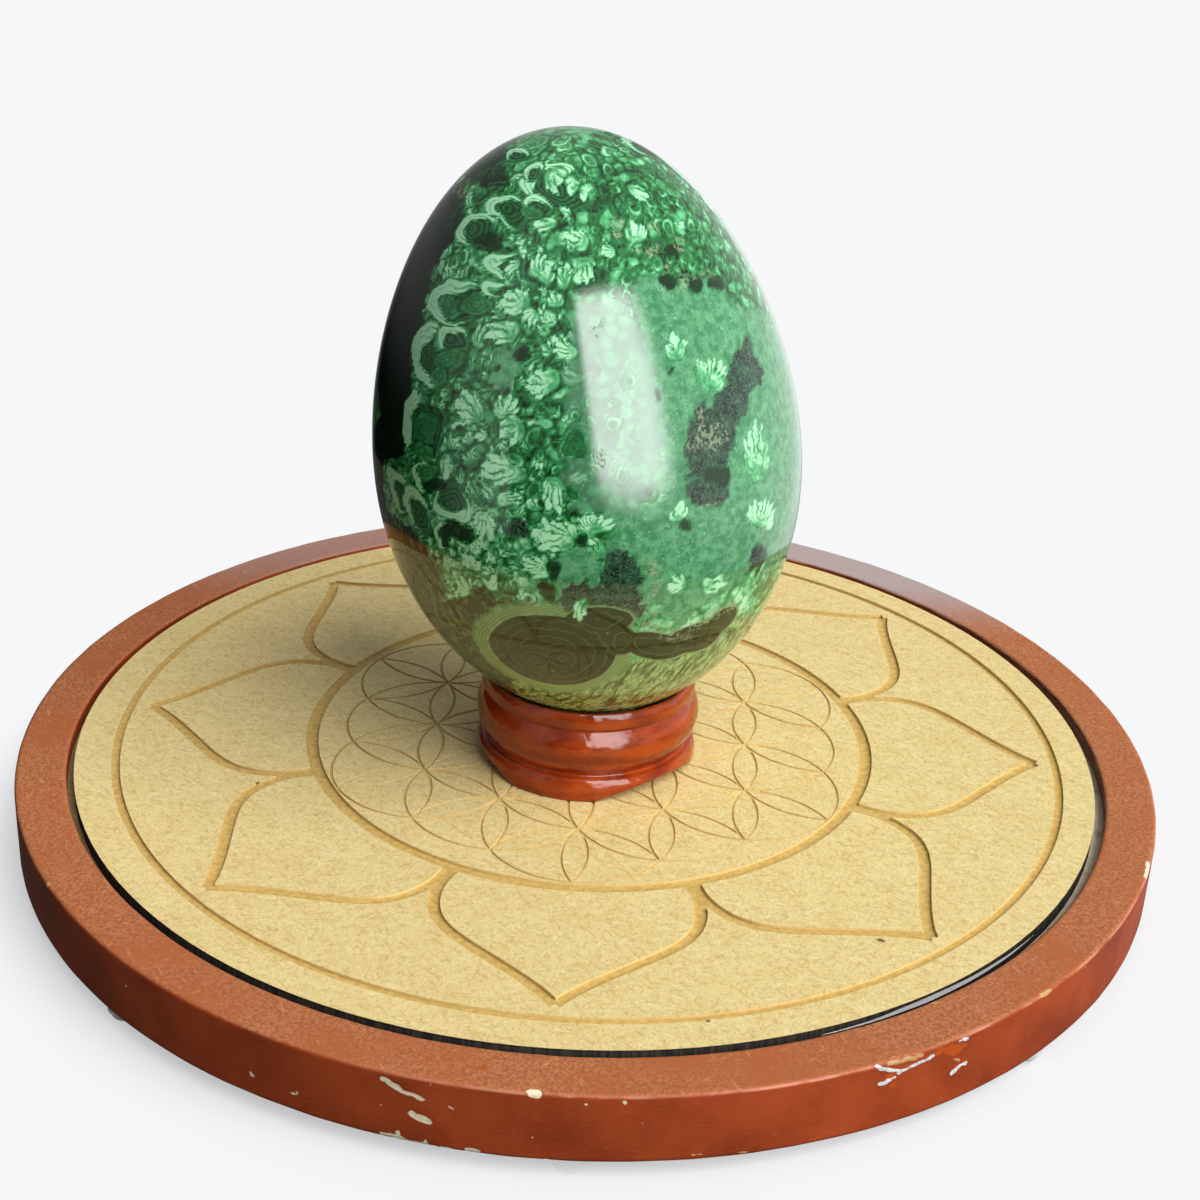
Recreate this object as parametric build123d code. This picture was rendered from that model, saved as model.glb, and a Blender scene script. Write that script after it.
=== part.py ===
from build123d import *
import os
from math import cos, radians, sin, sqrt, tan

# Polished stone egg that leans in a turned wooden ring, on an engraved round board
# laid into a framed mirror. Millimetres, +Z up, origin under the middle of the board.

# Engraved fibreboard disc, loose in the frame
DISC_D = 200.0
DISC_T = 3.0
DISC_GAP = 1.7
DISC_SHIFT_X = -0.3
DISC_SHIFT_Y = -0.2

# Round wooden frame
FRAME_W = 9.5
LIP_OVERLAP = 3.0
FRAME_TOP_ROUND = 1.5
FRAME_FOOT_ROUND = 0.6
FRAME_MOUTH_ROUND = 0.4

# Mirror and the board behind it
MIRROR_T = 4.0
BACKING_T = 6.0
RABBET_CLEAR = 0.5
GLASS_SEAM = 0.4

# Turn buttons, their screws and the bumper pads
BUTTONS = 4
BUTTON_ANGLE = 45.0
BUTTON_REACH = 12.0
BUTTON_W = 6.0
BUTTON_T = 1.2
BUTTON_EDGE = 0.3
SCREW_D = 2.4
SCREW_L = 8.0
SCREW_POINT = 1.6
SCREW_HEAD_D = 5.0
SCREW_HEAD_H = 1.3
SCREW_HEAD_ROUND = 0.9
SCREW_SLOT_W = 0.7
SCREW_SLOT_DEPTH = 0.5
SCREW_CLEAR = 0.06
PADS = 4
PAD_D = 5.6
PAD_H = 3.0
PAD_EDGE = 0.5

# Engraving on the disc
PATTERN_ANGLE = -92.4
PATTERN_SHIFT_X = 0.5
PATTERN_SHIFT_Y = 0.2
GROOVE_DEPTH = 0.6
LINE_INSET = 7.2
LINE_W = 1.6
PETALS = 8
PETAL_W = 2.2
PETAL_TIP_GAP = 3.0
MEDALLION_R = 55.2
MEDALLION_W = 2.4
FLOWER_STEPS = 2
FLOWER_MARGIN = 0.4
FLOWER_W = 0.55
FLOWER_DEPTH = 0.4
FLOWER_SLACK = 0.02

# Turned ring stand
RING_X = -0.5
RING_Y = -5.0
RING_H = 18.4
BORE_D = 30.0
SEAT_D = 40.0
SEAT_ANGLE = 31.0
RIM_D = 41.6
RIM_ROUND = 0.35
BEAD_D = 43.4
BEAD_ROOT_D = 40.4
NECK_D = 39.8
FLANGE_D = 42.8
FLANGE_H = 4.6
FLANGE_ROUND = 0.5
NECK_H = 0.9
LINE_H = 14.7
LINE_CUT = 0.5
FEET = 3
FOOT_ANGLE = -107.0
FOOT_SPAN_ANGLE = 45.0
ARCH_H = 3.0

# Egg
EGG_D = 79.0
EGG_TOP = 61.0
EGG_BOTTOM = 49.2
EGG_LEAN_ANGLE = 7.2
EGG_SHOULDER_RATIO = 0.444
EGG_CROWN_RATIO = 0.594
EGG_CLEAR = 0.3

# Radii and levels that follow
disc_r = DISC_D / 2
opening_r = disc_r + DISC_GAP
frame_r = opening_r + FRAME_W
rabbet_r = opening_r + LIP_OVERLAP
glass_r = rabbet_r - RABBET_CLEAR
wall_mid_r = (rabbet_r + frame_r) / 2
back_z = PAD_H
glass_z = back_z + BACKING_T
bed_z = glass_z + MIRROR_T
top_z = bed_z + DISC_T
button_z = back_z - BUTTON_T
line_r = disc_r - LINE_INSET
petal_tip_r = line_r - LINE_W / 2 - PETAL_TIP_GAP
flower_r = (MEDALLION_R - MEDALLION_W / 2 - FLOWER_MARGIN) / (FLOWER_STEPS + 1)
egg_r = EGG_D / 2


def turned(outline):
    """Solid turned about Z from a closed outline of radius and height."""
    return revolve(Plane.XZ * make_face(outline), Axis.Z)


def around(count, start, radius, height):
    """Places evenly spaced about Z, each turned so that its X points outwards."""
    turns = [start + 360 * i / count for i in range(count)]
    return [Rot(0, 0, turn) * Pos(radius, 0, height) for turn in turns]


def band(radius, width):
    """Flat ring of the given mean radius and width."""
    return Circle(radius + width / 2) - Circle(radius - width / 2)


def bumper_pads():
    """Four round pads under the frame's back, eased at the foot."""
    pad = extrude(Circle(PAD_D / 2), amount=PAD_H)
    pad = chamfer(pad.faces().sort_by(Axis.Z)[0].edges(), PAD_EDGE)
    return Compound(children=[place * pad for place in around(PADS, 0, wall_mid_r, 0)])


def backing_board():
    """Round board that fills the rabbet behind the glass."""
    return Pos(0, 0, back_z) * extrude(Circle(glass_r), amount=BACKING_T)


def mirror_glass():
    """Round mirror glass with seamed edges."""
    plate = extrude(Circle(glass_r), amount=MIRROR_T)
    return Pos(0, 0, glass_z) * chamfer(plate.edges(), GLASS_SEAM)


def board_frame():
    """Turned frame: a lip over the glass, a rabbet behind it and pilot holes for the button screws."""
    section = FilletPolyline(
        (opening_r, bed_z),
        (opening_r, top_z),
        (frame_r, top_z),
        (frame_r, back_z),
        (rabbet_r, back_z),
        (rabbet_r, bed_z),
        radius=[0, FRAME_MOUTH_ROUND, FRAME_TOP_ROUND, FRAME_FOOT_ROUND, 0, 0],
        close=True,
    )
    pilot = extrude(Circle(SCREW_D / 2 + SCREW_CLEAR), amount=SCREW_L)
    return turned(section) - [place * pilot for place in around(BUTTONS, BUTTON_ANGLE, wall_mid_r, back_z)]


def turn_button():
    """Steel tab with round ends, drilled at its pivot and pointing along -X."""
    round_r = BUTTON_W / 2
    tab = SlotCenterToCenter(BUTTON_REACH - round_r, BUTTON_W)
    plate = extrude(Pos((round_r - BUTTON_REACH) / 2, 0) * tab, amount=BUTTON_T)
    plate = chamfer(plate.faces().sort_by(Axis.Z)[0].edges(), BUTTON_EDGE)
    return plate - extrude(Circle(SCREW_D / 2 + SCREW_CLEAR), amount=BUTTON_T)


def button_screw():
    """Pan-head wood screw that points up, with its head's seat at Z 0 and a driver slot below."""
    reach = BUTTON_T + SCREW_L - SCREW_CLEAR
    head_r = SCREW_HEAD_D / 2
    outline = FilletPolyline(
        (0, -SCREW_HEAD_H),
        (head_r, -SCREW_HEAD_H),
        (head_r, 0),
        (SCREW_D / 2, 0),
        (SCREW_D / 2, reach - SCREW_POINT),
        (0, reach),
        radius=[0, SCREW_HEAD_ROUND, 0, 0, 0, 0],
        close=True,
    )
    slot = Pos(0, 0, SCREW_SLOT_DEPTH / 2 - SCREW_HEAD_H) * Box(SCREW_HEAD_D, SCREW_SLOT_W, SCREW_SLOT_DEPTH)
    return turned(outline) - slot


def petal_lines():
    """Grooves of the lotus petals: an ogee from each tip to the neck at the medallion, on both sides."""
    half_pitch = 180 / PETALS
    ogee = [(1.0, 0.0), (0.81, 0.19), (0.64, 0.475), (0.43, 0.83), (0.25, 0.95), (0.0, 0.96)]
    lines = []
    for side in (half_pitch, -half_pitch):
        points = []
        for rise, spread in ogee:
            radius = MEDALLION_R + rise * (petal_tip_r - MEDALLION_R)
            angle = radians(spread * side)
            points.append((radius * cos(angle), radius * sin(angle)))
        groove = trace(Spline(*points), PETAL_W)
        lines += [place * groove for place in around(PETALS, 0, 0, 0)]
    return lines


def flower_lines():
    """Flower of life: whole circles on a triangular grid, and the arcs of the next ones inside them."""
    whole = []
    partial = []
    steps = range(-FLOWER_STEPS - 1, FLOWER_STEPS + 2)
    for across in steps:
        for up in steps:
            rings_out = sqrt(across**2 + across * up + up**2)
            place = Pos(flower_r * (across + up / 2), flower_r * up * sqrt(3) / 2)
            if rings_out <= FLOWER_STEPS:
                whole.append(place)
            elif rings_out <= FLOWER_STEPS + 1:
                partial.append(place)
    line = band(flower_r - FLOWER_SLACK, FLOWER_W)
    cover = Sketch() + [place * Circle(flower_r) for place in whole]
    lines = Sketch() + [place * line for place in whole]
    return lines + [(place * line) & cover for place in partial]


def engraving(lines, depth):
    """Solid that cuts the given lines into the disc's face."""
    return Pos(0, 0, DISC_T - depth) * extrude(lines, amount=depth, dir=(0, 0, 1))


def grid_disc():
    """Fibreboard disc with the border circle, petals, medallion ring and flower of life cut into its face."""
    wide_lines = Sketch() + [band(line_r, LINE_W), band(MEDALLION_R, MEDALLION_W)] + petal_lines()
    cuts = [engraving(wide_lines, GROOVE_DEPTH), engraving(flower_lines(), FLOWER_DEPTH)]
    pattern_place = Pos(PATTERN_SHIFT_X, PATTERN_SHIFT_Y) * Rot(0, 0, PATTERN_ANGLE)
    engraved = extrude(Circle(disc_r), amount=DISC_T) - [pattern_place * cut for cut in cuts]
    return Pos(DISC_SHIFT_X, DISC_SHIFT_Y, bed_z) * engraved


def ring_stand():
    """Turned ring: flange, neck groove, bead, incised line and rim round a dished seat, on three feet."""
    seat_r = SEAT_D / 2
    bore_r = BORE_D / 2
    rim_r = RIM_D / 2
    root_r = BEAD_ROOT_D / 2
    neck_r = NECK_D / 2
    flange_r = FLANGE_D / 2
    seat_foot_z = RING_H - (seat_r - bore_r) * tan(radians(SEAT_ANGLE))
    bead_foot_z = FLANGE_H + NECK_H
    bead_mid_z = (bead_foot_z + LINE_H) / 2
    upper = FilletPolyline(
        (bore_r, 0),
        (bore_r, seat_foot_z),
        (seat_r, RING_H),
        (rim_r, RING_H),
        (rim_r, LINE_H + LINE_CUT / 2),
        (root_r, LINE_H),
        radius=[0, 0, RIM_ROUND, 0],
    )
    bead = ThreePointArc((root_r, LINE_H), (BEAD_D / 2, bead_mid_z), (neck_r, bead_foot_z))
    lower = FilletPolyline(
        (neck_r, bead_foot_z),
        (neck_r, FLANGE_H),
        (flange_r, FLANGE_H),
        (flange_r, 0),
        (bore_r, 0),
        radius=[0, FLANGE_ROUND, 0],
    )
    half_chord = flange_r * sin(radians((360 / FEET - FOOT_SPAN_ANGLE) / 2))
    arch = ThreePointArc((-half_chord, 0), (0, ARCH_H), (half_chord, 0))
    arch += Line((half_chord, 0), (-half_chord, 0))
    arch_cut = extrude(Plane.YZ * make_face(arch), amount=FLANGE_D)
    arch_turn = FOOT_ANGLE + 180 / FEET
    body = turned(upper + bead + lower) - [place * arch_cut for place in around(FEET, arch_turn, 0, 0)]
    return Pos(RING_X, RING_Y, top_z) * body


def egg_support(slope):
    """Distance from the egg's middle to a seat plane that its axis meets at the given slope."""
    share = cos(radians(slope)) ** 2
    return sqrt(egg_r**2 * (1 - share) + EGG_BOTTOM**2 * share)


def malachite_egg():
    """Egg with an elliptic lower end and a fuller crown, leaned to -X until it beds on the ring's seat."""
    quarter = 4 / 3 * (sqrt(2) - 1)
    low = -EGG_BOTTOM
    shoulder = (egg_r, EGG_SHOULDER_RATIO * EGG_TOP)
    crown = (EGG_CROWN_RATIO * egg_r, EGG_TOP)
    outline = Bezier((0, low), (quarter * egg_r, low), (egg_r, quarter * low), (egg_r, 0))
    outline += Bezier((egg_r, 0), shoulder, crown, (0, EGG_TOP))
    outline += Line((0, EGG_TOP), (0, low))
    slope = radians(SEAT_ANGLE)
    near = egg_support(SEAT_ANGLE - EGG_LEAN_ANGLE)
    far = egg_support(SEAT_ANGLE + EGG_LEAN_ANGLE)
    seat = SEAT_D / 2 * sin(slope) - RING_H * cos(slope) - EGG_CLEAR
    aside = (far - near) / (2 * sin(slope))
    height = ((near + far) / 2 - seat) / cos(slope)
    return Pos(RING_X + aside, RING_Y, top_z + height) * Rot(0, -EGG_LEAN_ANGLE, 0) * turned(outline)


nodes = {
    "bumper_pads": bumper_pads(),
    "backing_board": backing_board(),
    "mirror_glass": mirror_glass(),
    "board_frame": board_frame(),
    "grid_disc": grid_disc(),
    "ring_stand": ring_stand(),
    "malachite_egg": malachite_egg(),
}
pivots = around(BUTTONS, BUTTON_ANGLE, wall_mid_r, button_z)
nodes["button_screws"] = Compound(children=[pivot * button_screw() for pivot in pivots])
for number, pivot in enumerate(pivots, start=1):
    nodes[f"turn_button_{number}"] = pivot * turn_button()

os.makedirs("parts", exist_ok=True)
for name, shape in nodes.items():
    export_step(shape, f"parts/{name}.step")
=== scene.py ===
import bpy
import numpy as np
from mathutils import Matrix, Vector


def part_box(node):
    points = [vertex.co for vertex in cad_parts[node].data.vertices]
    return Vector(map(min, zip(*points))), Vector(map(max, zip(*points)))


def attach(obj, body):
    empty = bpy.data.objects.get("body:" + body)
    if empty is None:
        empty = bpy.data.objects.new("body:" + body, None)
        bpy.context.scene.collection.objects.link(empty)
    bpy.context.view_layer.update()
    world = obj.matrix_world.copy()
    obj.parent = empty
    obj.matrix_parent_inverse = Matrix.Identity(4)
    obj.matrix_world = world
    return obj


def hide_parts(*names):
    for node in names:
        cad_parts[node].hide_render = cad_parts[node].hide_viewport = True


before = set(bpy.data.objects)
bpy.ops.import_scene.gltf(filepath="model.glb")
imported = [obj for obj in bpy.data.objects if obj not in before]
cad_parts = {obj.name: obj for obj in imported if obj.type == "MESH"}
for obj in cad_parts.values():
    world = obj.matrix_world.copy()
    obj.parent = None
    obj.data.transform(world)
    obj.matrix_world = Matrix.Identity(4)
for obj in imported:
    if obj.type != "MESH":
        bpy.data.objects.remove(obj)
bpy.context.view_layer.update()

# Bumper pads: four small round feet of clear silicone rubber, stuck under the frame's back.
# Moulded, milky with wear, and faintly pebbled where they grip.


def tint(red, green, blue):
    """Colour as seen on a screen, 0 to 255, turned into the linear light that a shader takes."""
    seen = np.array([red, green, blue]) / 255
    light = np.where(seen <= 0.04045, seen / 12.92, ((seen + 0.055) / 1.055) ** 2.4)
    return (*light.tolist(), 1.0)


def new_finish(name):
    """Fresh node finish: the material, its node tree and its shader."""
    finish = bpy.data.materials.new(name)
    finish.use_nodes = True
    return finish, finish.node_tree, finish.node_tree.nodes["Principled BSDF"]


def fill_in(made, inputs):
    """Fills a node's inputs, by name or number: sockets are linked, plain values are copied."""
    for place, value in dict(inputs).items():
        if isinstance(value, bpy.types.NodeSocket):
            made.id_data.links.new(value, made.inputs[place])
        else:
            made.inputs[place].default_value = value


def add_node(tree, kind, inputs=(), **settings):
    """New node of a kind, with its settings and its inputs."""
    made = tree.nodes.new("ShaderNode" + kind)
    for name, value in settings.items():
        setattr(made, name, value)
    fill_in(made, inputs)
    return made


def sum_of(operation, *values):
    """One sum on numbers: sockets or plain values go in, a socket of the same tree comes out."""
    tree = next(value.id_data for value in values if isinstance(value, bpy.types.NodeSocket))
    return add_node(tree, "Math", enumerate(values), operation=operation).outputs[0]


def times(number, *others):
    """Product of numbers."""
    for other in others:
        number = sum_of("MULTIPLY", number, other)
    return number


def scaled(number, factor, base):
    """A number times a factor, on top of a base."""
    return sum_of("MULTIPLY_ADD", number, factor, base)


def step(number, start, end):
    """Smooth step of a number: 0 before the start and 1 past the end, where the end may be the lower."""
    inputs = {"Value": number, "From Min": start, "From Max": end}
    return add_node(number.id_data, "MapRange", inputs, interpolation_type="SMOOTHSTEP").outputs["Result"]


def between(share, first, second, weight=None):
    """Colour between two others, by a share from 0 to 1, times a weight if there is one."""
    share = times(share, weight) if weight else share
    return add_node(share.id_data, "Mix", {0: share, 6: first, 7: second}, data_type="RGBA").outputs[2]


def placed(tree, stretch, turn):
    """The piece's own coordinates, turned and then drawn out along each axis."""
    own = add_node(tree, "TexCoord").outputs["Object"]
    moved = {"Vector": own, "Scale": stretch, "Rotation": turn}
    return add_node(tree, "Mapping", moved, vector_type="TEXTURE").outputs["Vector"]


def grain(tree, waves, detail=2.0, stretch=(1, 1, 1), turn=(0, 0, 0)):
    """Noise about one half, with so many waves to the metre."""
    inputs = {"Scale": waves, "Detail": detail, "Vector": placed(tree, stretch, turn)}
    return add_node(tree, "TexNoise", inputs).outputs["Fac"]


def relief(shader, height, depth, strength=1.0, facing=None):
    """Raises the surface by a height from 0 to 1 times a depth in metres, from where it faces or seems to."""
    inputs = {"Strength": strength, "Distance": depth, "Height": height}
    if facing:
        inputs["Normal"] = facing
    fill_in(shader, {"Normal": add_node(shader.id_data, "Bump", inputs).outputs["Normal"]})


def dress(finish, *nodes):
    """Gives CAD nodes their finish."""
    for name in nodes:
        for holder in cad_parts[name].material_slots:
            holder.material = finish


rubber, tree, shader = new_finish("pad_rubber")
pebble = grain(tree, 2600, 3)
milky = between(step(pebble, 0.45, 0.7), tint(240, 241, 242), tint(252, 252, 252))
fill_in(shader, {"Base Color": milky, "Roughness": 0.5, "Specular IOR Level": 0.05,
                 "Alpha": scaled(pebble, 0.06, 0.01)})
relief(shader, pebble, 0.00008)
dress(rubber, "bumper_pads")

# Backing board: a round of plain hardboard that lies in the frame's rabbet and closes the back.
# Pressed brown fibre, darker in soft clouds, with fine lighter fibres in it.
backing, tree, shader = new_finish("backing_hardboard")
hairs = step(grain(tree, 1500, 2, (9, 1, 1), (0, 0, 0.6)), 0.56, 0.68)
brown = between(step(grain(tree, 60, 4), 0.35, 0.65), tint(104, 74, 48), tint(136, 102, 68))
fill_in(shader, {"Base Color": between(hairs, brown, tint(172, 140, 100), 0.5), "Roughness": 0.7})
relief(shader, grain(tree, 1800, 3), 0.00006)
dress(backing, "backing_board")

# Mirror: a round of silvered glass under the disc, held by the frame's lip.
# Bright in the middle; towards the rim, the only part in sight, the silvering has gone tan, and painted shade
# makes the rim darker on the left and paler on the right.


def own_place(tree, kind="Object"):
    """The piece's own coordinates: the place as a whole, then its x, y and z."""
    place = add_node(tree, "TexCoord").outputs[kind]
    return place, *add_node(tree, "SeparateXYZ", {"Vector": place}).outputs


def distance(tree, operation, *places):
    """How far a place is from the origin, by LENGTH, or from another place, by DISTANCE."""
    return add_node(tree, "VectorMath", enumerate(places), operation=operation).outputs["Value"]


mirror, tree, shader = new_finish("old_mirror")
own, x, *_ = own_place(tree)
flat = add_node(tree, "VectorMath", {0: own, 1: (1, 1, 0)}, operation="MULTIPLY").outputs["Vector"]
gone = step(scaled(grain(tree, 240, 3), 0.006, distance(tree, "LENGTH", flat)), 0.0985, 0.1005)
# Painted shade: the tan rim is darker on the left and paler on the right; blotches of tan tarnish lie over it
tarnish_and_shade = between(step(x, -0.05, 0.09), tint(164, 138, 92), tint(250, 236, 204))
tarnish_and_shade = between(step(grain(tree, 420, 3), 0.5, 0.75), tarnish_and_shade, tint(196, 172, 134))
fill_in(shader, {"Base Color": between(gone, tint(226, 228, 226), tarnish_and_shade),
                 "Metallic": scaled(gone, -0.82, 0.82), "Roughness": scaled(gone, 0.4, 0.04)})
dress(mirror, "mirror_glass")

# Turn buttons and their screws: steel with a dull pale zinc coat, four of each behind the frame.
# Pressed and turned; drawn marks run along the plate, and the coat is a little cloudy.
steel, tree, shader = new_finish("plated_steel")
drawn_marks = grain(tree, 900, 3, (14, 1, 1), (0, 0, 0.785))
zinc = between(grain(tree, 160, 3), tint(214, 215, 214), tint(246, 246, 245))
fill_in(shader, {"Base Color": zinc, "Metallic": 0.15, "Roughness": scaled(drawn_marks, 0.3, 0.4)})
relief(shader, drawn_marks, 0.00003)
dress(steel, "button_screws", "turn_button_1", "turn_button_2", "turn_button_3", "turn_button_4")

# Frame: a turned wooden ring with a lip over the glass, primed cream and painted red-brown.
# The paint is scratched on top, with a painted highlight along the outer top edge and a painted sheen over
# the far part of the top, and chipped to the primer round the side and foot.
frame_low, frame_high = (np.array(corner) * 1000 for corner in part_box("board_frame"))
frame_r, frame_top, frame_back = frame_high[0], frame_high[2], frame_low[2] + 0.05
opening_r, rabbet_r, lip_z = 101.7, 104.7, 13.0
scene = bpy.context.scene


def unit(vectors):
    """Vectors of the same directions, all of length one."""
    return vectors / np.linalg.norm(vectors, axis=-1, keepdims=True)


def eased(corners, steps=9):
    """Closed outline through corners of radius, height and ease: each corner is cut back by its ease
    along both of its sides, and bridged by a quadratic curve that has the corner as its middle point."""
    corners = np.array(corners, float)
    spot, ease = corners[:, :2], corners[:, 2:]
    start = spot + ease * unit(np.roll(spot, 1, 0) - spot)
    end = spot + ease * unit(np.roll(spot, -1, 0) - spot)
    t = np.linspace(0, 1, steps)[:, None, None]
    curve = (1 - t) ** 2 * start + 2 * (1 - t) * t * spot + t**2 * end
    return curve.transpose(1, 0, 2).reshape(-1, 2)


def spaced(outline, count):
    """The same closed outline with evenly spaced points, and its outward normals:
    the outline runs clockwise as radius and height are drawn, so a normal is its run turned left."""
    ring = np.vstack([outline, outline[:1]])
    keep = np.r_[True, np.linalg.norm(np.diff(ring, axis=0), axis=1) > 1e-6]
    ring = ring[keep]
    length = np.r_[0, np.cumsum(np.linalg.norm(np.diff(ring, axis=0), axis=1))]
    at = np.linspace(0, length[-1], count, endpoint=False)
    even = np.stack([np.interp(at, length, ring[:, 0]), np.interp(at, length, ring[:, 1])], -1)
    run = unit(np.roll(even, -1, 0) - np.roll(even, 1, 0))
    return even, np.stack([-run[:, 1], run[:, 0]], -1)


def lathe(outline, columns, rows):
    """Points of a closed outline carried round the upright axis, and their outward normals:
    rows follow the turn, columns the outline."""
    turns = np.linspace(-np.pi, np.pi, rows, endpoint=False)
    wide = np.stack([np.cos(turns), np.sin(turns), np.zeros_like(turns)], -1)
    up = np.array([0.0, 0.0, 1.0])
    return [line[None, :, :1] * wide[:, None] + line[None, :, 1:] * up for line in spaced(outline, columns)]


def ripple(points, wave, seed):
    """Smooth noise of about -1 to 1: twelve sine waves in seeded directions, each near so many mm long."""
    luck = np.random.default_rng(seed)
    way = unit(luck.normal(size=(12, 3)))
    way *= 2 * np.pi / (wave * luck.uniform(0.7, 1.5, (12, 1)))
    return np.sin(points @ way.T + luck.uniform(0, 2 * np.pi, 12)).sum(-1) / 3.5


def sway(points, wave, seed):
    """Smooth noise along each of the three axes, from three seeds in a row."""
    return np.stack([ripple(points, wave, seed + axis) for axis in range(3)], -1)


def ease_step(value, low, high):
    """Smooth step of an array: 0 below low, 1 above high."""
    t = np.clip((value - low) / (high - low), 0, 1)
    return t * t * (3 - 2 * t)


def mesh_object(name, points, faces, finish, **fields):
    """Smooth mesh object from points in metres, with its finish and one number per point for each field."""
    mesh = bpy.data.meshes.new(name)
    mesh.from_pydata(points.reshape(-1, 3).tolist(), [], faces)
    for field, values in fields.items():
        numbers = mesh.attributes.new(field, "FLOAT", "POINT").data
        numbers.foreach_set("value", values.astype(np.float32).ravel())
    mesh.shade_smooth()
    mesh.materials.append(finish)
    made = bpy.data.objects.new(name, mesh)
    scene.collection.objects.link(made)
    return made


def mesh_piece(name, points, faces, finish, body, node, **fields):
    """Mesh object from points in mm that rides a body, and stands in for a CAD node if one is named."""
    piece = mesh_object(name, points / 1000, faces, finish, **fields)
    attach(piece, body)
    if node:
        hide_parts(node)
    return piece


def grid_faces(rows, columns, open_rows=False, open_columns=False, flip=False):
    """Faces of a grid of points, which closes on itself both ways unless open; flip turns the faces over."""
    row, column = np.meshgrid(np.arange(rows - open_rows), np.arange(columns - open_columns), indexing="ij")
    next_row, next_column = (row + 1) % rows, (column + 1) % columns
    corners = [(row, column), (next_row, column), (next_row, next_column), (row, next_column)]
    if flip:
        corners = corners[:1] + corners[:0:-1]
    return np.stack([down * columns + along for down, along in corners], -1).reshape(-1, 4).tolist()


def mark_depth(points, marks):
    """How far points lie inside marks on the paint, in mm: a mark is a line with round ends,
    given by turn, radius and height at both ends and by its half width."""
    deepest = np.full(points.shape[:-1], -3.0)
    for *ends, half in marks:
        turn, radius, height = np.array(ends).reshape(2, 3).T
        turn = np.radians(turn)
        start, end = np.stack([radius * np.cos(turn), radius * np.sin(turn), height], -1)
        run = end - start
        along = np.clip((points - start) @ run / (run @ run + 1e-9), 0, 1)
        away = np.linalg.norm(points - start - along[..., None] * run, axis=-1)
        deepest = np.maximum(deepest, half - away)
    return deepest


frame_corners = [
    (opening_r, lip_z, 0.05), (opening_r, frame_top, 0.4), (frame_r, frame_top, 0.6),
    (frame_r, frame_back, 0.6), (rabbet_r, frame_back, 0.2), (rabbet_r, lip_z, 0.05),
]
frame_points, frame_normals = lathe(eased(frame_corners), columns=96, rows=960)

# Marks on the side as turn and height at both ends, and half width: cream chips to the primer,
# white flakes of lifted paint, orange undercoat and tan wood beside them, and scratches.
side_marks = {
    "bare": [
        (-105.2, 14.4, -104, 13.2, 0.55), (-104, 12.9, -101.8, 12, 0.4), (-102.7, 8.6, -101.4, 7.8, 0.67),
        (-105.4, 3.7, -103.6, 3.7, 0.4), (-104, 4.9, -104, 4.3, 0.4), (-103.6, 3.5, -101.2, 3.2, 0.3),
        (-101.6, 3.8, -101.5, 3.5, 0.36), (-101.2, 3.2, -99.3, 3.4, 0.26), (-98.3, 3.7, -97.2, 3.6, 0.4),
        (-100.7, 13.5, -100.7, 13.4, 0.35), (-101.3, 15.2, -101.2, 15.3, 0.26),
        (-105.4, 9.2, -105.3, 9.2, 0.3), (-99.9, 11.4, -99.8, 11.4, 0.22), (-99.3, 11.2, -99.2, 11.2, 0.24),
        (-91.8, 14.1, -91.7, 14.1, 0.2), (-93.1, 7.2, -93, 7.2, 0.2), (-91.9, 3.3, -91.8, 3.3, 0.26),
        (-89, 14.3, -88.9, 14.3, 0.34), (-85.9, 15, -85.8, 15, 0.39), (-84.5, 10.9, -84.4, 10.9, 0.25),
        (-132, 11.4, -131.8, 11.2, 0.28), (-117.3, 7.2, -117.2, 7.1, 0.4), (-113.4, 6.5, -112.8, 6.8, 0.36),
        (-113.1, 7.3, -113.1, 6.9, 0.24), (24, 7, 25.2, 6.4, 0.5), (61, 3.4, 63.4, 3.6, 0.4),
        (131, 11.2, 132, 10.5, 0.45), (163, 4, 165, 3.5, 0.35),
    ],
    "flake": [
        (-64.9, 15.6, -64, 14.7, 0.45), (-64, 14.7, -62.6, 13.5, 0.36), (-64.5, 12, -63.5, 12.1, 0.46),
        (-63.5, 12.1, -62.6, 13.1, 0.33), (-62.7, 13.3, -59.3, 14.2, 0.36), (-57.1, 9.1, -56.3, 9.9, 0.44),
        (-56.3, 9.9, -55.3, 10.3, 0.34), (-56.4, 15.3, -55.7, 15.2, 0.4),
    ],
    "under": [
        (-63.8, 13.2, -63.2, 13, 0.49), (-63, 10.8, -62.9, 11.1, 0.57), (-58.8, 14.7, -58.2, 14.6, 0.66),
        (-57.5, 14.2, -56.7, 13.6, 1.1), (-56.2, 14, -55.7, 14, 0.67),
    ],
    "wood": [
        (-63.8, 15.5, -60.5, 15.1, 0.42), (-57, 12.2, -56.1, 11, 0.3), (-122.3, 3.2, -119.4, 3.2, 0.24),
        (-119.4, 3.2, -116.3, 3.2, 0.36), (-116.3, 3.2, -112.4, 3.2, 0.24), (-108.1, 3.2, -107, 3.2, 0.22),
        (-80.2, 4.2, -79.4, 4, 0.2), (-76.8, 3.6, -75.6, 3.6, 0.22),
    ],
    "scratch": [
        (-125.7, 15, -125.2, 13.6, 0.17), (-122.8, 13, -120.1, 14, 0.15), (-119.8, 12.9, -119.2, 12.9, 0.15),
        (-82, 13.6, -81.8, 9.4, 0.12), (-79.2, 12.4, -79, 10.6, 0.11), (-86, 8.4, -70, 8.9, 0.1),
        (-88, 6.2, -74, 6.5, 0.1), (-84, 11.2, -66, 11.9, 0.09), (-52, 7.8, -40, 8.6, 0.1),
        (-50, 13, -34, 13.6, 0.09),
    ],
}
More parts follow.
